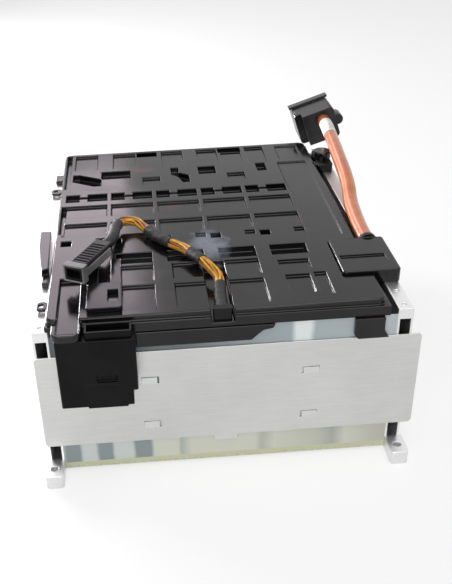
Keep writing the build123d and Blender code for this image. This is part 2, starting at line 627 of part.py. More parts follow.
# --- rear terminal: a block on the right beam under a round cap
block_x1 = BLOCK_X0 + BLOCK_W
block_top = BEAM_H + BLOCK_H
terminal = slab(BLOCK_X0, block_x1, BLOCK_Y - BLOCK_L / 2, BLOCK_Y + BLOCK_L / 2, BEAM_H, block_top, 2.0)
terminal -= block(BLOCK_X0 - 1, BEAM_MID + BAR_TAIL + BAR_CLEAR, BLOCK_Y - bar_slot, BLOCK_Y + bar_slot,
                  BEAM_H - 1, BEAM_H + 7.0)
put("rear_terminal_block", terminal)
cap_x = (BLOCK_X0 + block_x1) / 2 - 0.5
cap = upright(cap_x, BLOCK_Y, block_top, block_top + CAP_H, CAP_R)
cap = chamfer(cap.edges().sort_by(Axis.Z)[-1], 1.2)
for i in range(CAP_NOTCHES):
    notch = Pos(cap_x, BLOCK_Y, block_top + 1) * Rot(0, 0, 360 / CAP_NOTCHES * i) * Pos(CAP_R, 0, CAP_H / 2)
    cap -= notch * Box(1.6, 1.6, CAP_H)
put("rear_terminal_cap", cap)

# --- left side: the lead-out hood that lies along the left beam
side_outline = [(-152.6, 158.0), (-143.0, 158.0), (-141.0, 86.0), (-147.0, 84.0), (-152.6, 128.0)]
side = prism(side_outline, BEAM_H, BEAM_H + SIDE_HOOD_H)
side = fillet(side.faces().sort_by(Axis.Z)[-1].edges(), 1.0)
side += block(-146.6, -141.6, 70.0, 88.0, BEAM_H, BEAM_H + SIDE_HOOD_H / 2)
put("side_lead_hood", side)


# --- cords
def cord_path(points):
    """Straight runs joined by arcs, each as large as its two runs allow."""
    corners = [Vector(*p) for p in points]
    radii = []
    for before, here, after in zip(corners, corners[1:], corners[2:]):
        into = here - before
        out = after - here
        turn = math.radians(into.get_angle(out))
        radii.append(0.45 * min(into.length, out.length) / math.tan(turn / 2))
    print("radii", [round(r, 1) for r in radii])
    return FilletPolyline(*points, radius=radii)


def cord(points, radius):
    """A round cord along a route."""
    path = cord_path(points)
    tube = sweep(Plane(path @ 0, z_dir=path % 0) * Circle(radius), path=path)
    print("cord", round(path.length, 1), round(tube.volume / (math.pi * radius ** 2 * path.length), 4))
    return tube


# Points of the harness: X, Y and height over the deck.
lv_route = [
    (-0.5, 9.0, -4.6), (-0.5, 34.0, -4.6), (2.6, 54.0, -0.6), (-5.0, 67.0, 4.4), (-13.6, 82.0, 5.2),
    (-23.3, 99.0, 5.2), (-34.0, 110.0, 5.2), (-42.3, 119.0, 5.3), (-52.4, 134.5, 5.4), (-58.5, 146.5, 5.8),
    (-65.5, 158.0, 6.6), (-78.6, 154.5, 9.0), (-84.0, 133.0, 11.8), (-84.6, 112.0, PLUG_RISE),
    (-92.61, 97.01, PLUG_RISE),
]
put("lv_harness", cord([(x, y, DECK_TOP + h) for x, y, h in lv_route], LV_R))

clamp = slab(VALLEY_X0 + 1.5, VALLEY_X1 - 1.5, GLAND_Y - GLAND_T, GLAND_Y, VALLEY_FLOOR, DECK_TOP + 1.0, 1.5)
put("harness_clamp", clamp)

plug_place = Pos(-104.9, 74.1, DECK_TOP + PLUG_RISE) * Rot(0, 0, PLUG_TURN)
plug = Box(PLUG_W, PLUG_L, PLUG_H)
plug = fillet(plug.edges().filter_by(Axis.Y), 1.5)
plug -= Pos(0, -PLUG_L / 2 + 4, 0) * Box(PLUG_W - 4, 12, PLUG_H - 4)
for i in range(PLUG_RIBS):
    y = -PLUG_L / 2 + 9 + i * (PLUG_L - 14) / PLUG_RIBS
    plug -= Pos(0, y, PLUG_H / 2) * Box(PLUG_W - 4, 2.0, 1.6)
put("lv_plug", plug_place * plug)
lock_w = PLUG_W + 2 * (LOCK_FIT + LOCK_T)
lock = Box(lock_w, LOCK_L, PLUG_H + 2 * (LOCK_FIT + LOCK_T))
lock -= Box(PLUG_W + 2 * LOCK_FIT, LOCK_L + 2, PLUG_H + 2 * LOCK_FIT)
lock = Pos(0, -PLUG_L / 2 + LOCK_L / 2, 0) * lock
lock += Pos((lock_w - LOCK_T) / 2, -2.0, 0) * Box(LOCK_T, PLUG_L - 6.0, 6.0)
put("lv_plug_lock", plug_place * lock)

# Points of the power lead: X, Y and height over the deck.
lead_rise = gland_z - DECK_TOP
hv_route = [
    (gland_x, HOOD_Y1 + HV_GLAND_L, lead_rise), (gland_x, 128.0, lead_rise), (140.2, 156.0, -1.6),
    (142.2, 184.0, 0.4), (146.2, 208.0, 5.6), (147.8, 236.0, 10.6), (149.3, 270.0, 14.0),
    (151.2, 301.0, 16.2), (152.8, 328.0, 17.4), (154.4, 348.0, 18.0), (154.4, 367.0, 18.0),
]
hv_points = [(x, y, DECK_TOP + h) for x, y, h in hv_route]
put("hv_cable", cord(hv_points, HV_R))

connector_end = hv_points[-1]
connector_place = (Pos(connector_end[0] - 5.4, connector_end[1] + CONNECTOR_L / 2, connector_end[2] - 8.0)
                   * Rot(0, CONNECTOR_ROLL, 0))
connector = Box(CONNECTOR_W, CONNECTOR_L, CONNECTOR_H)
connector = fillet(connector.edges().filter_by(Axis.Y), 4.0)
connector -= Pos(0, CONNECTOR_L / 2, 0) * Box(CONNECTOR_W - 8.0, 2 * SHROUD_DEPTH, CONNECTOR_H - 10.0)
connector -= Pos(-CONNECTOR_W / 2, -CONNECTOR_L / 2, 0) * Box(16.0, 24.0, CONNECTOR_H + 2)
connector += Pos(CONNECTOR_W / 2 + 2.0, -CONNECTOR_L / 2 + 12.0, 0) * Rot(90, 0, 0) * Cylinder(6.0, 18.0)
for side_x in (-8.0, 8.0):
    pin = Pos(side_x, CONNECTOR_L / 2 - SHROUD_DEPTH + 4.5, 0) * Rot(90, 0, 0) * Cylinder(3.0, 10.0)
    connector += pin
put("hv_connector", connector_place * connector)
lever = Box(CONNECTOR_W + 2.0, 9.0, 2.4)
lever_place = Pos(0, CONNECTOR_L / 2 - 6.0, CONNECTOR_H / 2 + 1.2)
put("hv_connector_lever", connector_place * lever_place * lever)
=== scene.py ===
import math
import bmesh
import bpy
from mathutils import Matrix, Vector


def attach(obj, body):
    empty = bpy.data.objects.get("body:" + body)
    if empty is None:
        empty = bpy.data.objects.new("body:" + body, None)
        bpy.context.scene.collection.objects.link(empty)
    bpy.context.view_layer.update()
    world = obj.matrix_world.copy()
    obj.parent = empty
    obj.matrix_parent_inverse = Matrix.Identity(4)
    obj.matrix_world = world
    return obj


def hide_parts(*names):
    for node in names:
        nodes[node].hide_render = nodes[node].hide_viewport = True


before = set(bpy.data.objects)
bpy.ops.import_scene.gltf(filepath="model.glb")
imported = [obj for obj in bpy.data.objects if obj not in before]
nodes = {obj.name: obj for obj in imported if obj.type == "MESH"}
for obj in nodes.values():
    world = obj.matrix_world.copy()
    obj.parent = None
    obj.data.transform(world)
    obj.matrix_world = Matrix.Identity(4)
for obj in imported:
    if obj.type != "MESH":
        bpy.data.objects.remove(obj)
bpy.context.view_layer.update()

# --- the studio
# The module stands on a pale bench top that fades to white, seen from above its front plate. Two
# lamps light it from the front, and two behind it and to its left give the black deck its sheen.
scene = bpy.context.scene
scene.view_settings.view_transform = "Standard"

lens = bpy.data.cameras.new("camera")
lens.sensor_fit = "HORIZONTAL"
lens.sensor_width = 36.0
lens.lens = 67.18
lens.shift_x = 0.1005
lens.shift_y = 0.0336
lens.clip_start = 0.01
camera = bpy.data.objects.new("camera", lens)
camera.location = (-0.0623, -0.72653, 0.49368)
camera.rotation_euler = (1.021159, 0.034903, -0.067759)
scene.collection.objects.link(camera)
scene.camera = camera


def lamp(name, place, aim, width, height, watts, colour=(1.0, 1.0, 1.0)):
    """A soft rectangular lamp that faces a point."""
    light = bpy.data.lights.new(name, "AREA")
    light.shape = "RECTANGLE"
    light.size = width
    light.size_y = height
    light.energy = watts
    light.color = colour
    holder = bpy.data.objects.new(name, light)
    holder.location = place
    holder.rotation_euler = (Vector(aim) - Vector(place)).to_track_quat("-Z", "Y").to_euler()
    scene.collection.objects.link(holder)


lamp("overhead_lamp", (0.2, -0.5, 1.7), (0, 0, 0.1), 1.2, 1.2, 12.0)
lamp("front_lamp", (-0.4, -1.6, 0.7), (0, -0.1, 0.08), 1.2, 0.8, 9.0)
lamp("rear_left_lamp", (-0.30, 1.15, 0.82), (-0.10, -0.05, 0.15), 0.44, 0.46, 1.9, (1.0, 0.84, 0.94))
lamp("left_strip", (-1.1, 1.0, 0.32), (0.0, 0.0, 0.15), 0.9, 0.16, 40.0)


def add(tree, kind, **values):
    """A node, with its settings and the values of its unlinked sockets."""
    made = tree.nodes.new(kind)
    for key, value in values.items():
        if hasattr(made, key):
            setattr(made, key, value)
        else:
            made.inputs[key.replace("_", " ")].default_value = value
    return made


def seen_directly(tree):
    """1 for a ray that comes from the camera, a mirror or clear glass, and 0 for any other."""
    path = add(tree, "ShaderNodeLightPath")
    found = path.outputs["Is Camera Ray"]
    for kind in ("Is Transmission Ray", "Is Glossy Ray"):
        either = add(tree, "ShaderNodeMath", operation="MAXIMUM")
        tree.links.new(found, either.inputs[0])
        tree.links.new(path.outputs[kind], either.inputs[1])
        found = either.outputs[0]
    return found


def mixed_shader(tree, factor, first, second):
    """Blends two shaders."""
    made = add(tree, "ShaderNodeMixShader")
    for source, socket in zip((factor, first, second), made.inputs):
        tree.links.new(source, socket)
    return made.outputs[0]


ROOM_LIGHT = 0.38
world = bpy.data.worlds.new("studio")
world.use_nodes = True
tree = world.node_tree
tree.nodes.clear()
room = add(tree, "ShaderNodeBackground", Color=(1, 1, 1, 1), Strength=ROOM_LIGHT)
white = add(tree, "ShaderNodeBackground", Color=(1, 1, 1, 1), Strength=1.0)
surround = add(tree, "ShaderNodeOutputWorld")
tree.links.new(mixed_shader(tree, seen_directly(tree), room.outputs[0], white.outputs[0]), surround.inputs[0])
scene.world = world


def material(name):
    """An empty node material with a Principled shader: the material, its tree and the shader."""
    made = bpy.data.materials.new(name)
    made.use_nodes = True
    tree = made.node_tree
    tree.nodes.clear()
    shader = add(tree, "ShaderNodeBsdfPrincipled")
    out = add(tree, "ShaderNodeOutputMaterial")
    tree.links.new(shader.outputs[0], out.inputs[0])
    return made, tree, shader


BENCH_HALF = 6.0
BENCH_DROP = 0.0005
BENCH_GLOW = 0.62
bench, tree, shader = material("bench_top")
shader.inputs["Base Color"].default_value = (0.9, 0.9, 0.9, 1)
shader.inputs["Roughness"].default_value = 0.7
glow = add(tree, "ShaderNodeEmission", Color=(1, 1, 1, 1), Strength=1.0)
share = add(tree, "ShaderNodeMath", operation="MULTIPLY")
share.inputs[1].default_value = BENCH_GLOW
tree.links.new(seen_directly(tree), share.inputs[0])
tree.links.new(mixed_shader(tree, share.outputs[0], shader.outputs[0], glow.outputs[0]),
               tree.nodes["Material Output"].inputs[0])
top = bpy.data.meshes.new("bench")
bench_corners = ((-1, -1), (1, -1), (1, 1), (-1, 1))
top.from_pydata([(x * BENCH_HALF, y * BENCH_HALF, 0) for x, y in bench_corners], [], [(0, 1, 2, 3)])
top.materials.append(bench)
bench_object = bpy.data.objects.new("bench", top)
bench_object.location = (0, 0, -BENCH_DROP)
scene.collection.objects.link(bench_object)


# --- the monitor harness
# A bundle of thin cell-sense wires, each in an orange or yellow sheath, bound with black cloth
# tape. It leaves its clamp in the cover's valley, folds over and ends in the ribbed plug.
harness_route = [
    (-0.00335, -0.1674, 0.1454), (-0.00335, -0.1424, 0.1454), (-0.00025, -0.1224, 0.1494),
    (-0.00785, -0.1094, 0.1544), (-0.01645, -0.0944, 0.1552), (-0.02615, -0.0774, 0.1552),
    (-0.03685, -0.0664, 0.1552), (-0.04515, -0.0574, 0.1553), (-0.05525, -0.0419, 0.1554),
    (-0.06135, -0.0299, 0.1558), (-0.06835, -0.0184, 0.1566), (-0.08145, -0.0219, 0.1590),
    (-0.08685, -0.0434, 0.1618), (-0.08745, -0.0644, 0.1630), (-0.09546, -0.07939, 0.1630),
]


def spline_curve(name, route):
    """A curve object on one NURBS spline with the route's points as control points."""
    curve = bpy.data.curves.new(name, "CURVE")
    curve.dimensions = "3D"
    curve.resolution_u = 12
    spline = curve.splines.new("NURBS")
    spline.points.add(len(route) - 1)
    for point, place in zip(spline.points, route):
        point.co = (*place, 1.0)
    spline.order_u = 3
    spline.use_endpoint_u = True
    made = bpy.data.objects.new(name, curve)
    scene.collection.objects.link(made)
    return made


def centreline(curve_object):
    """The points of a curve without a bevel, in order."""
    bare = bpy.data.meshes.new_from_object(curve_object)
    points = [v.co.copy() for v in bare.vertices]
    bpy.data.meshes.remove(bare)
    return points


def carried_frames(points):
    """At each point of a line, two directions across it that never twist."""
    across = (points[1] - points[0]).orthogonal().normalized()
    frames = []
    for i in range(len(points)):
        along = (points[min(i + 1, len(points) - 1)] - points[max(i - 1, 0)]).normalized()
        across = (across - along * across.dot(along)).normalized()
        frames.append((across, along.cross(across)))
    return frames


def run_lengths(points):
    """The length of a line up to each of its points."""
    lengths = [0.0]
    for before, here in zip(points, points[1:]):
        lengths.append(lengths[-1] + (here - before).length)
    return lengths


def tube_rings(bm, rings, skin=0):
    """Joins rings of points into one closed tube with the skin's material."""
    made = [[bm.verts.new(p) for p in ring] for ring in rings]
    count = len(made[0])
    for low, high in zip(made, made[1:]):
        for i in range(count):
            face = bm.faces.new((low[i], low[(i + 1) % count], high[(i + 1) % count], high[i]))
            face.material_index = skin
            face.smooth = True
    for ring, turn in ((made[0], -1), (made[-1], 1)):
        face = bm.faces.new(ring[::turn])
        face.material_index = skin


def piece(name, bm, *finishes):
    """A mesh object made from a bmesh, with its materials."""
    bmesh.ops.recalc_face_normals(bm, faces=bm.faces)
    mesh = bpy.data.meshes.new(name)
    bm.to_mesh(mesh)
    bm.free()
    for finish in finishes:
        mesh.materials.append(finish)
    made = bpy.data.objects.new(name, mesh)
    scene.collection.objects.link(made)
    return made


def noise_on(tree, scale, **values):
    """Noise that is fixed to the object: its value and the object's coordinates."""
    place = add(tree, "ShaderNodeTexCoord")
    made = add(tree, "ShaderNodeTexNoise", Scale=scale, **values)
    tree.links.new(place.outputs["Object"], made.inputs["Vector"])
    return made.outputs["Fac"], place.outputs["Object"]


def ramp(tree, stops, source):
    """A colour ramp through (place, colour) stops."""
    made = add(tree, "ShaderNodeValToRGB")
    elements = made.color_ramp.elements
    while len(elements) < len(stops):
        elements.new(0.5)
    for element, (position, colour) in zip(elements, stops):
        element.position = position
        element.color = (*colour, 1)
    tree.links.new(source, made.inputs[0])
    return made.outputs[0]


def ranged(tree, source, **limits):
    """A value taken from one range to another."""
    made = add(tree, "ShaderNodeMapRange", **limits)
    tree.links.new(source, made.inputs["Value"])
    return made.outputs[0]


def mixed(tree, factor, *colours):
    """Blends two colours, each a socket or three numbers."""
    made = add(tree, "ShaderNodeMix", data_type="RGBA")
    tree.links.new(factor, made.inputs["Factor"])
    for label, colour in zip("AB", colours):
        if isinstance(colour, tuple):
            made.inputs[label].default_value = (*colour, 1)
        else:
            tree.links.new(colour, made.inputs[label])
    return made.outputs["Result"]


def relief(tree, shader, height, strength, distance):
    """Bumps a shader's surface by a height."""
    bump = add(tree, "ShaderNodeBump", Strength=strength, Distance=distance)
    tree.links.new(height, bump.inputs["Height"])
    tree.links.new(bump.outputs[0], shader.inputs["Normal"])


def cable_sheath(name, colour, roughness):
    """A thin extruded sheath, a little uneven in tone along its length."""
    made, tree, shader = material(name)
    speckle, _ = noise_on(tree, 260.0, Detail=3.0, Roughness=0.6)
    shade = tuple(c * 0.62 for c in colour)
    tree.links.new(ramp(tree, ((0.3, shade), (0.62, colour)), speckle), shader.inputs["Base Color"])
    tree.links.new(ranged(tree, speckle, To_Min=roughness - 0.08, To_Max=roughness + 0.1),
                   shader.inputs["Roughness"])
    relief(tree, shader, speckle, 0.25, 0.0002)
    return made


orange_wire = cable_sheath("orange_wire_sheath", (0.72, 0.24, 0.035), 0.42)
yellow_wire = cable_sheath("yellow_wire_sheath", (0.72, 0.50, 0.03), 0.42)
brown_wire = cable_sheath("brown_wire_sheath", (0.30, 0.09, 0.03), 0.45)

harness_curve = spline_curve("monitor_harness_route", harness_route)
harness_line = centreline(harness_curve)
bpy.data.objects.remove(harness_curve)
harness_frames = carried_frames(harness_line)
harness_lengths = run_lengths(harness_line)

WIRE_R = 0.00104
OUTER_RING = 0.00325
INNER_RING = 0.0013
WIRE_SIDES = 6
LAY = 16.0                      # radians of twist per metre
ORANGE, YELLOW, BROWN = 0, 1, 2
wire_skins = (ORANGE, YELLOW, ORANGE, YELLOW, ORANGE, BROWN, YELLOW, ORANGE, YELLOW) + (ORANGE,) * 5
wires = bmesh.new()
wire_angles = [math.tau * k / WIRE_SIDES for k in range(WIRE_SIDES)]
bundle = [(OUTER_RING, math.tau * k / 10) for k in range(10)]
bundle += [(INNER_RING, math.tau * k / 4) for k in range(4)]
for number, (reach, start) in enumerate(bundle):
    rings = []
    for centre, (u, v), run in zip(harness_line, harness_frames, harness_lengths):
        turn = start + run * LAY + 0.16 * math.sin(run * 190.0 + number * 2.1)
        spread = reach * (1.0 + 0.07 * math.sin(run * 130.0 + number * 1.7))
        core = centre + (u * math.cos(turn) + v * math.sin(turn)) * spread
        rings.append([core + (u * math.cos(a) + v * math.sin(a)) * WIRE_R for a in wire_angles])
    tube_rings(wires, rings, wire_skins[number])
harness = piece("monitor_harness", wires, orange_wire, yellow_wire, brown_wire)

cloth_tape, tree, shader = material("black_cloth_tape")
weave, _ = noise_on(tree, 1400.0, Detail=2.0)
tree.links.new(mixed(tree, weave, (0.003, 0.003, 0.0035), (0.013, 0.013, 0.014)), shader.inputs["Base Color"])
shader.inputs["Roughness"].default_value = 0.62
relief(tree, shader, weave, 0.5, 0.0002)

WRAP_STEP = 0.0007              # between a sleeve's rings


def wrapped(name, line, frames, lengths, span, profile, look, sides=28):
    """A sleeve round a line between two lengths along it; profile gives its radius there."""
    bm = bmesh.new()
    rings = []
    steps = max(8, round((span[1] - span[0]) / WRAP_STEP))
    at = 0
    for k in range(steps + 1):
        run = span[0] + (span[1] - span[0]) * k / steps
        while at < len(lengths) - 2 and lengths[at + 1] < run:
            at += 1
        part = (run - lengths[at]) / (lengths[at + 1] - lengths[at])
        centre = line[at].lerp(line[at + 1], part)
        u, v = frames[at]
        ring = []
        for i in range(sides):
            turn = math.tau * i / sides
            radius = profile(run, turn)
            ring.append(centre + (u * math.cos(turn) + v * math.sin(turn)) * radius)
        rings.append(ring)
    tube_rings(bm, rings)
    return piece(name, bm, look)


TAPE_R = 0.00475
TAPE_T = 0.00028
TAPE_TURNS = 130.0              # per metre


def tape_wrap(run, turn):
    """Half-lapped turns of tape: a small step where each turn starts, and a few creases."""
    lap = (run * TAPE_TURNS + turn / math.tau) % 1.0
    return TAPE_R + TAPE_T * lap + 0.00012 * math.sin(turn * 3 + run * 400)


tape_spans = ((0.0005, 0.038), (0.0715, 0.0895), (0.114, 0.1475), (0.190, harness_lengths[-1] - 0.001))
tapes = []
for number, span in enumerate(tape_spans):
    tapes.append(wrapped(f"harness_tape_{number + 1}", harness_line, harness_frames, harness_lengths, span,
                         tape_wrap, cloth_tape))
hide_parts("lv_harness")
for made in [harness] + tapes:
    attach(made, "root")


# --- the power lead
# A single screened high-voltage cable in a smooth orange sheath. It comes out of the hood's gland,
# lies along the right beam, climbs over the rear terminal's cap and ends in the connector.
LEAD_D = 0.014
lead_route = [
    (0.13575, -0.0684, 0.1476), (0.13575, -0.0484, 0.1476), (0.13735, -0.0204, 0.1484),
    (0.13935, 0.0076, 0.1504), (0.14335, 0.0316, 0.1556), (0.14495, 0.0596, 0.1606),
    (0.14645, 0.0936, 0.1640), (0.14835, 0.1246, 0.1662), (0.14995, 0.1516, 0.1674),
    (0.15155, 0.1716, 0.1680), (0.15155, 0.1906, 0.1680),
]
lead_sheath, tree, shader = material("orange_lead_sheath")
patch, _ = noise_on(tree, 38.0, Detail=5.0, Roughness=0.62)
tree.links.new(ramp(tree, ((0.32, (0.40, 0.095, 0.02)), (0.60, (0.54, 0.145, 0.034))), patch),
               shader.inputs["Base Color"])
tree.links.new(ranged(tree, patch, To_Min=0.16, To_Max=0.34), shader.inputs["Roughness"])
ripple, _ = noise_on(tree, 420.0, Detail=2.0)
relief(tree, shader, ripple, 0.12, 0.0002)
shader.inputs["Coat Weight"].default_value = 0.4
shader.inputs["Coat Roughness"].default_value = 0.12

lead = spline_curve("power_lead", lead_route)
lead_line = centreline(lead)
lead_frames = carried_frames(lead_line)
lead_lengths = run_lengths(lead_line)
lead.data.bevel_depth = LEAD_D / 2
lead.data.bevel_resolution = 6
lead.data.use_fill_caps = True
lead.data.materials.append(lead_sheath)

wrap_paper, tree, shader = material("white_wrap_label")
scuff, _ = noise_on(tree, 170.0, Detail=6.0, Roughness=0.7)
tree.links.new(ramp(tree, ((0.34, (0.40, 0.40, 0.38)), (0.52, (0.76, 0.76, 0.72))), scuff),
               shader.inputs["Base Color"])
shader.inputs["Roughness"].default_value = 0.5
relief(tree, shader, scuff, 0.2, 0.0002)

LABEL_R = 0.00712
LABEL_T = 0.00012
LABEL_FROM_END = (0.047, 0.012)


def paper_wrap(run, turn):
    """A label lapped once round the cable, thicker along its lap."""
    return LABEL_R + (LABEL_T if 0.6 < turn < 1.5 else 0.0)


label_span = tuple(lead_lengths[-1] - back for back in LABEL_FROM_END)
label_sleeve = wrapped("lead_label_sleeve", lead_line, lead_frames, lead_lengths, label_span,
                       paper_wrap, wrap_paper, 40)
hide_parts("hv_cable")
for made in (lead, label_sleeve):
    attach(made, "root")


# --- the black mouldings
# Cover, hoods, bracket, skirt and housings are all injection mouldings of glass-filled nylon, in
# black with a satin face and fine grain, clipped or screwed together and slightly dusty.
def group(name, inputs):
    """A shader node group with named inputs: the group, its input node and its output node."""
    made = bpy.data.node_groups.new(name, "ShaderNodeTree")
    for label, value in inputs.items():
        kind = "NodeSocketColor" if isinstance(value, tuple) else "NodeSocketFloat"
        socket = made.interface.new_socket(label, in_out="INPUT", socket_type=kind)
        socket.default_value = value
    for label, kind in (("Colour", "NodeSocketColor"), ("Roughness", "NodeSocketFloat"),
                        ("Height", "NodeSocketFloat")):
        made.interface.new_socket(label, in_out="OUTPUT", socket_type=kind)
    return made, made.nodes.new("NodeGroupInput"), made.nodes.new("NodeGroupOutput")


def send_out(tree, given, result, share, colours, roughness, height):
    """Sends out a group's colour and roughness, each between two of its inputs, and its height."""
    first, second = (given.outputs[label] for label in colours)
    tree.links.new(mixed(tree, share, first, second), result.inputs["Colour"])
    gloss = add(tree, "ShaderNodeMapRange")
    tree.links.new(share, gloss.inputs["Value"])
    for label, limit in zip(roughness, ("To Min", "To Max")):
        tree.links.new(given.outputs[label], gloss.inputs[limit])
    tree.links.new(gloss.outputs[0], result.inputs["Roughness"])
    tree.links.new(height, result.inputs["Height"])


def grouped(name, body_group, values, bump_strength):
    """A material on a node group: the material, its tree, its shader and the group's colour."""
    made, tree, shader = material(name)
    body = tree.nodes.new("ShaderNodeGroup")
    body.node_tree = body_group
    for label, value in values.items():
        body.inputs[label].default_value = (*value, 1) if isinstance(value, tuple) else value
    tree.links.new(body.outputs["Colour"], shader.inputs["Base Color"])
    tree.links.new(body.outputs["Roughness"], shader.inputs["Roughness"])
    relief(tree, shader, body.outputs["Height"], bump_strength, 0.0001)
    return made, tree, shader, body.outputs["Colour"]


grain_group, given, result = group(
    "moulded_grain",
    {"Black": (0.004, 0.004, 0.005, 1.0), "Dusty": (0.014, 0.013, 0.014, 1.0), "Grain Scale": 900.0,
     "Smear Scale": 22.0, "Satin": 0.20, "Dull": 0.34})
place = add(grain_group, "ShaderNodeTexCoord")
grain = add(grain_group, "ShaderNodeTexNoise", Detail=2.0)
smear = add(grain_group, "ShaderNodeTexNoise", Detail=7.0, Roughness=0.62)
for noise, scale in ((grain, "Grain Scale"), (smear, "Smear Scale")):
    grain_group.links.new(place.outputs["Object"], noise.inputs["Vector"])
    grain_group.links.new(given.outputs[scale], noise.inputs["Scale"])
smeared = ranged(grain_group, smear.outputs["Fac"], From_Min=0.42, From_Max=0.72)
send_out(grain_group, given, result, smeared, ("Black", "Dusty"), ("Satin", "Dull"),
         grain.outputs["Fac"])


def moulding(name, black, dusty, satin, dull, specular=0.35):
    """A black moulding: the material, its tree, its shader and its colour."""
    values = {"Black": black, "Dusty": dusty, "Satin": satin, "Dull": dull}
    made, tree, shader, colour = grouped(name, grain_group, values, 0.12)
    shader.inputs["Specular IOR Level"].default_value = specular
    return made, tree, shader, colour


def patch_mask(tree, centre, half, ragged):
    """A soft patch on the surface round a point, broken up by noise: 1 inside, 0 outside."""
    noise, place = noise_on(tree, ragged, Detail=6.0, Roughness=0.6)
    shift = add(tree, "ShaderNodeMapping", vector_type="TEXTURE", Location=centre, Scale=half)
    tree.links.new(place, shift.inputs["Vector"])
    far = add(tree, "ShaderNodeVectorMath", operation="LENGTH")
    tree.links.new(shift.outputs[0], far.inputs[0])
    frayed = add(tree, "ShaderNodeMath", operation="MULTIPLY_ADD")
    frayed.inputs[1].default_value = 1.6
    tree.links.new(noise, frayed.inputs[0])
    tree.links.new(far.outputs["Value"], frayed.inputs[2])
    return ranged(tree, frayed.outputs[0], From_Min=1.75, From_Max=1.05)


cover_black, tree, shader, colour = moulding("cover_satin_black", (0.0035, 0.003, 0.0035),
                                             (0.011, 0.009, 0.010), 0.13, 0.24, 0.34)
marks = (                       # centre, half size, raggedness, colour
    ((-0.0045, -0.0625, 0.15), (0.021, 0.036, 0.05), 60.0, (0.155, 0.17, 0.215)),
    ((-0.058, 0.119, 0.15), (0.021, 0.008, 0.05), 90.0, (0.060, 0.018, 0.018)),
    ((-0.080, 0.029, 0.15), (0.015, 0.007, 0.05), 90.0, (0.050, 0.015, 0.016)),
    ((-0.033, 0.027, 0.15), (0.014, 0.006, 0.05), 90.0, (0.050, 0.015, 0.016)),
)
for centre, half, ragged, stain in marks:
    colour = mixed(tree, patch_mask(tree, centre, half, ragged), colour, stain)
tree.links.new(colour, shader.inputs["Base Color"])

housing_black = moulding("housing_fine_black", (0.002, 0.002, 0.0025), (0.006, 0.006, 0.0065),
                         0.30, 0.42, 0.12)[0]
bracket_black = moulding("bracket_gloss_black", (0.002, 0.002, 0.0025), (0.006, 0.006, 0.006),
                         0.14, 0.26, 0.22)[0]
carrier_black = moulding("carrier_matt_black", (0.012, 0.012, 0.013), (0.03, 0.03, 0.031),
                         0.5, 0.65, 0.3)[0]


def finish(name, look):
    """Gives a CAD node its material."""
    slots = nodes[name].material_slots
    for slot in slots:
        slot.material = look
    if not slots:
        nodes[name].data.materials.append(look)


def geometry_group(name):
    """An empty geometry group with its input and output."""
    made = bpy.data.node_groups.new(name, "GeometryNodeTree")
    for side in ("INPUT", "OUTPUT"):
        made.interface.new_socket("Geometry", in_out=side, socket_type="NodeSocketGeometry")
    return made, made.nodes.new("NodeGroupInput"), made.nodes.new("NodeGroupOutput")


# Where many short edges meet, a bevel throws a few points far off. The drawn surface goes through
# the bevel as an instance, and any point that ends up too far from it is put back on it.
carry, given, result = geometry_group("carry_drawn_surface")
drawn_copy = add(carry, "GeometryNodeGeometryToInstance")
both = add(carry, "GeometryNodeJoinGeometry")
carry.links.new(given.outputs[0], drawn_copy.inputs[0])
carry.links.new(drawn_copy.outputs[0], both.inputs[0])
carry.links.new(given.outputs[0], both.inputs[0])
carry.links.new(both.outputs[0], result.inputs[0])

STRAY = 0.0006
WELD_REACH = 0.00001
EASED_FROM = 35                 # degrees between two faces
hold, given, result = geometry_group("hold_stray_points")
parts = add(hold, "GeometryNodeSeparateComponents")
surface = add(hold, "GeometryNodeRealizeInstances")
nearest = add(hold, "GeometryNodeProximity", target_element="FACES")
astray = add(hold, "FunctionNodeCompare", data_type="FLOAT", operation="GREATER_THAN")
astray.inputs[1].default_value = STRAY
put_back = add(hold, "GeometryNodeSetPosition")
hold.links.new(given.outputs[0], parts.inputs[0])
hold.links.new(parts.outputs["Instances"], surface.inputs[0])
hold.links.new(surface.outputs[0], nearest.inputs[0])
hold.links.new(nearest.outputs["Distance"], astray.inputs[0])
hold.links.new(parts.outputs["Mesh"], put_back.inputs["Geometry"])
hold.links.new(astray.outputs[0], put_back.inputs["Selection"])
hold.links.new(nearest.outputs["Position"], put_back.inputs["Position"])
hold.links.new(put_back.outputs[0], result.inputs[0])


def eased(name, width, segments=2):
    """Rounds a node's sharp edges as the mould does."""
    weld = nodes[name].modifiers.new("welded", "WELD")
    weld.merge_threshold = WELD_REACH
    nodes[name].modifiers.new("carried", "NODES").node_group = carry
    ease = nodes[name].modifiers.new("eased_edges", "BEVEL")
    ease.width = width
    ease.segments = segments
    ease.limit_method = "ANGLE"
    ease.angle_limit = math.radians(EASED_FROM)
    ease.use_clamp_overlap = False
    ease.loop_slide = False
    ease.harden_normals = True
    nodes[name].modifiers.new("held", "NODES").node_group = hold


finish("top_cover", cover_black)
for name in ("hv_hood", "rear_terminal_block", "rear_terminal_cap", "side_lead_hood", "front_skirt",
             "front_clip"):
    finish(name, cover_black)
for name in ("monitor_housing", "socket_header"):
    finish(name, housing_black)
for name in ("docking_bracket", "harness_clamp"):
    finish(name, bracket_black)
for name in ("busbar_carrier", "end_liner_left", "end_liner_right"):
    finish(name, carrier_black)
COVER_EASE = 0.0009
MOULDED_EASE = 0.0007
SMALL_EASE = 0.0004
eased("top_cover", COVER_EASE, 3)
for name in ("hv_hood", "docking_bracket", "monitor_housing", "front_clip", "front_skirt", "side_lead_hood",
             "rear_terminal_block"):
    eased(name, MOULDED_EASE)


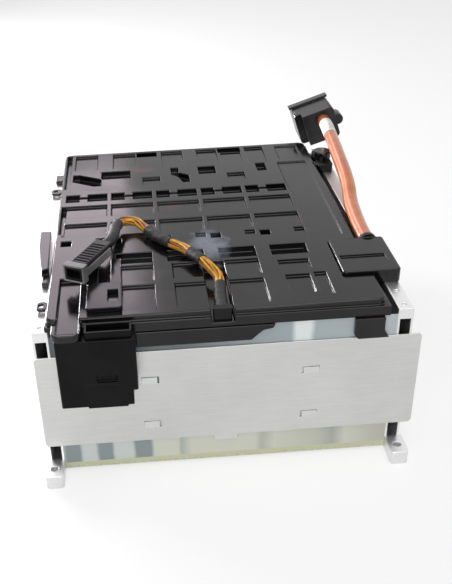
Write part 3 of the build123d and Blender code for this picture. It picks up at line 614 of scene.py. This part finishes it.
# --- the metal frame
# The two end beams are chambered aluminium extrusions with longer feet at each end. The plates are
# stamped aluminium sheet, brushed by the rolls, and welded across the beams' ends.
rolled_group, given, result = group(
    "rolled_metal",
    {"Bright": (0.80, 0.80, 0.80, 1.0), "Dull": (0.55, 0.55, 0.56, 1.0), "Smooth": 0.30, "Rough": 0.48,
     "Along": 6.0, "Across": 700.0, "Through": 700.0})
place = add(rolled_group, "ShaderNodeTexCoord")
stretch = add(rolled_group, "ShaderNodeCombineXYZ")
for label, axis in (("Along", "X"), ("Across", "Y"), ("Through", "Z")):
    rolled_group.links.new(given.outputs[label], stretch.inputs[axis])
drawn = add(rolled_group, "ShaderNodeVectorMath", operation="MULTIPLY")
rolled_group.links.new(place.outputs["Object"], drawn.inputs[0])
rolled_group.links.new(stretch.outputs[0], drawn.inputs[1])
streak = add(rolled_group, "ShaderNodeTexNoise", Scale=1.0, Detail=4.0, Roughness=0.6)
rolled_group.links.new(drawn.outputs[0], streak.inputs["Vector"])
cloud = add(rolled_group, "ShaderNodeTexNoise", Scale=11.0, Detail=6.0, Roughness=0.62)
rolled_group.links.new(place.outputs["Object"], cloud.inputs["Vector"])
blend = add(rolled_group, "ShaderNodeMix", data_type="FLOAT")
blend.inputs["Factor"].default_value = 0.62
rolled_group.links.new(streak.outputs["Fac"], blend.inputs["A"])
rolled_group.links.new(cloud.outputs["Fac"], blend.inputs["B"])
spread = ranged(rolled_group, blend.outputs["Result"], From_Min=0.32, From_Max=0.68)
send_out(rolled_group, given, result, spread, ("Dull", "Bright"), ("Rough", "Smooth"),
         streak.outputs["Fac"])


def rolled(name, bright, dull, smooth, rough, grain, bump_strength=0.1):
    """A metal with the lines of its rolls or die: grain is its fineness along X, Y and Z."""
    values = {"Bright": bright, "Dull": dull, "Smooth": smooth, "Rough": rough}
    values.update(zip(("Along", "Across", "Through"), grain))
    made, _, shader, _ = grouped(name, rolled_group, values, bump_strength)
    shader.inputs["Metallic"].default_value = 1.0
    return made


METAL_EASE = 0.0003
beam_metal = rolled("extruded_aluminium", (0.84, 0.84, 0.84), (0.70, 0.70, 0.71), 0.30, 0.46,
                    (900, 30, 900), 0.06)
plate_metal = rolled("brushed_plate", (0.655, 0.66, 0.645), (0.545, 0.55, 0.54), 0.32, 0.44,
                     (40, 900, 900), 0.04)
for name in ("beam_left", "beam_right"):
    finish(name, beam_metal)
    eased(name, METAL_EASE)
for name in ("front_plate", "rear_plate"):
    finish(name, plate_metal)
    eased(name, METAL_EASE)


# --- the insulating films
# Two sheets of clear film stand between the stack and the plates. The cans and the gaps between
# them show through as pale and dark bands, and the glued lower edge is yellow-green.
film_look, tree, shader = material("banded_film")
FILM_HALF = 0.1378
FILM_MID = -0.00285
ABOVE_PLATE = 0.07
GLUE_TOP = 0.0078
wobble, place = noise_on(tree, 55.0, Detail=4.0)
split = add(tree, "ShaderNodeSeparateXYZ")
tree.links.new(place, split.inputs[0])
nudged = add(tree, "ShaderNodeMath", operation="MULTIPLY_ADD")
nudged.inputs[1].default_value = 0.004
tree.links.new(wobble, nudged.inputs[0])
tree.links.new(split.outputs["X"], nudged.inputs[2])
across = ranged(tree, nudged.outputs[0], From_Min=FILM_MID - FILM_HALF, From_Max=FILM_MID + FILM_HALF)

DARK_BAND = (0.22, 0.26, 0.27)
PALE_BAND = (0.52, 0.56, 0.54)
MILKY = (0.55, 0.56, 0.48)
low_bands = ramp(tree, (
    (0.00, PALE_BAND), (0.015, DARK_BAND), (0.055, DARK_BAND), (0.065, PALE_BAND), (0.105, PALE_BAND),
    (0.115, DARK_BAND), (0.155, DARK_BAND), (0.165, PALE_BAND), (0.22, PALE_BAND), (0.23, DARK_BAND),
    (0.275, DARK_BAND), (0.285, MILKY), (0.36, MILKY), (0.37, (0.36, 0.39, 0.36)), (0.40, MILKY),
    (0.60, MILKY), (0.62, (0.40, 0.41, 0.36)), (0.66, MILKY), (0.80, (0.46, 0.47, 0.40)),
    (0.84, (0.36, 0.37, 0.34)), (0.88, MILKY), (1.00, (0.44, 0.44, 0.38)),
), across)
high_bands = ramp(tree, (
    (0.00, (0.10, 0.11, 0.12)), (0.40, (0.14, 0.16, 0.17)), (0.55, (0.26, 0.31, 0.33)),
    (0.70, (0.30, 0.35, 0.37)), (0.715, (0.66, 0.70, 0.70)), (0.755, (0.66, 0.70, 0.70)),
    (0.77, (0.33, 0.38, 0.40)), (0.93, (0.36, 0.41, 0.43)), (0.95, (0.50, 0.54, 0.56)),
    (1.00, (0.40, 0.45, 0.47)),
), across)
is_high = ranged(tree, split.outputs["Z"], From_Min=ABOVE_PLATE, From_Max=ABOVE_PLATE + 0.001)
glued = ranged(tree, split.outputs["Z"], From_Min=GLUE_TOP, From_Max=GLUE_TOP - 0.0008)
bands = mixed(tree, is_high, low_bands, high_bands)
tree.links.new(mixed(tree, glued, bands, (0.50, 0.52, 0.34)), shader.inputs["Base Color"])
shader.inputs["Roughness"].default_value = 0.22
relief(tree, shader, wobble, 0.15, 0.0005)
for name in ("front_film", "rear_film"):
    finish(name, film_look)


# --- the thermal pad
# A soft grey gap pad under the stack carries the cells' heat into the pack's floor. It is pressed
# out a little along its edge, where it looks yellow-green with age.
pad_look, tree, shader = material("gap_pad")
crumb, _ = noise_on(tree, 320.0, Detail=4.0)
tree.links.new(ramp(tree, ((0.35, (0.42, 0.44, 0.30)), (0.65, (0.56, 0.58, 0.42))), crumb),
               shader.inputs["Base Color"])
shader.inputs["Roughness"].default_value = 0.8
relief(tree, shader, crumb, 0.4, 0.0004)
finish("thermal_pad", pad_look)


# --- the cells and what joins them
# Twelve laser-welded aluminium cans stand in two rows, parted by thin mica cards. Rolled aluminium
# links weld their terminals into one chain, and two longer bars lead it out to the bolts.
can_metal = rolled("drawn_can", (0.66, 0.67, 0.68), (0.48, 0.50, 0.52), 0.34, 0.5, (300, 300, 10))
link_metal = rolled("rolled_link", (0.80, 0.81, 0.82), (0.62, 0.63, 0.64), 0.26, 0.42, (20, 500, 500))
bolt_metal = rolled("zinc_bolt", (0.66, 0.66, 0.62), (0.48, 0.48, 0.45), 0.28, 0.45, (400, 400, 400))
card_look = moulding("mica_card", (0.10, 0.12, 0.15), (0.16, 0.18, 0.20), 0.5, 0.7)[0]
for name in nodes:
    if name.startswith("cell_spacer"):
        finish(name, card_look)
    elif name.startswith("cell_"):
        finish(name, can_metal)
    elif name.startswith("busbar_") and name != "busbar_carrier":
        finish(name, link_metal)
for name in ("output_bar_front", "output_bar_rear"):
    finish(name, link_metal)
finish("terminal_bolts", bolt_metal)


# --- the monitor board
# A small lacquered circuit board with its chips, screwed to four bosses inside the housing.
board_look, tree, shader = material("green_lacquer")
coordinates = add(tree, "ShaderNodeTexCoord")
track = add(tree, "ShaderNodeTexVoronoi", Scale=240.0, distance="MANHATTAN", feature="F1")
tree.links.new(coordinates.outputs["Object"], track.inputs["Vector"])
tracks = ramp(tree, ((0.30, (0.012, 0.085, 0.04)), (0.45, (0.02, 0.16, 0.08))), track.outputs["Distance"])
tree.links.new(tracks, shader.inputs["Base Color"])
shader.inputs["Roughness"].default_value = 0.3
finish("monitor_board", board_look)


# --- the two connectors
# The harness plug and the power connector are black nylon, each with a grey sliding lock that
# snaps over its mating half.
plug_black = moulding("plug_black", (0.003, 0.003, 0.0035), (0.010, 0.010, 0.010), 0.30, 0.42, 0.2)[0]
connector_black = moulding("connector_black", (0.006, 0.005, 0.006), (0.022, 0.019, 0.022), 0.24, 0.4)[0]
lock_grey = moulding("lock_grey", (0.10, 0.10, 0.102), (0.34, 0.34, 0.34), 0.30, 0.5, 0.4)[0]
lever_grey = moulding("lever_grey", (0.016, 0.015, 0.017), (0.05, 0.047, 0.05), 0.3, 0.45, 0.4)[0]
finish("lv_plug", plug_black)
finish("lv_plug_lock", lock_grey)
finish("hv_connector", connector_black)
finish("hv_connector_lever", lever_grey)
for name in ("lv_plug", "hv_connector"):
    eased(name, SMALL_EASE)
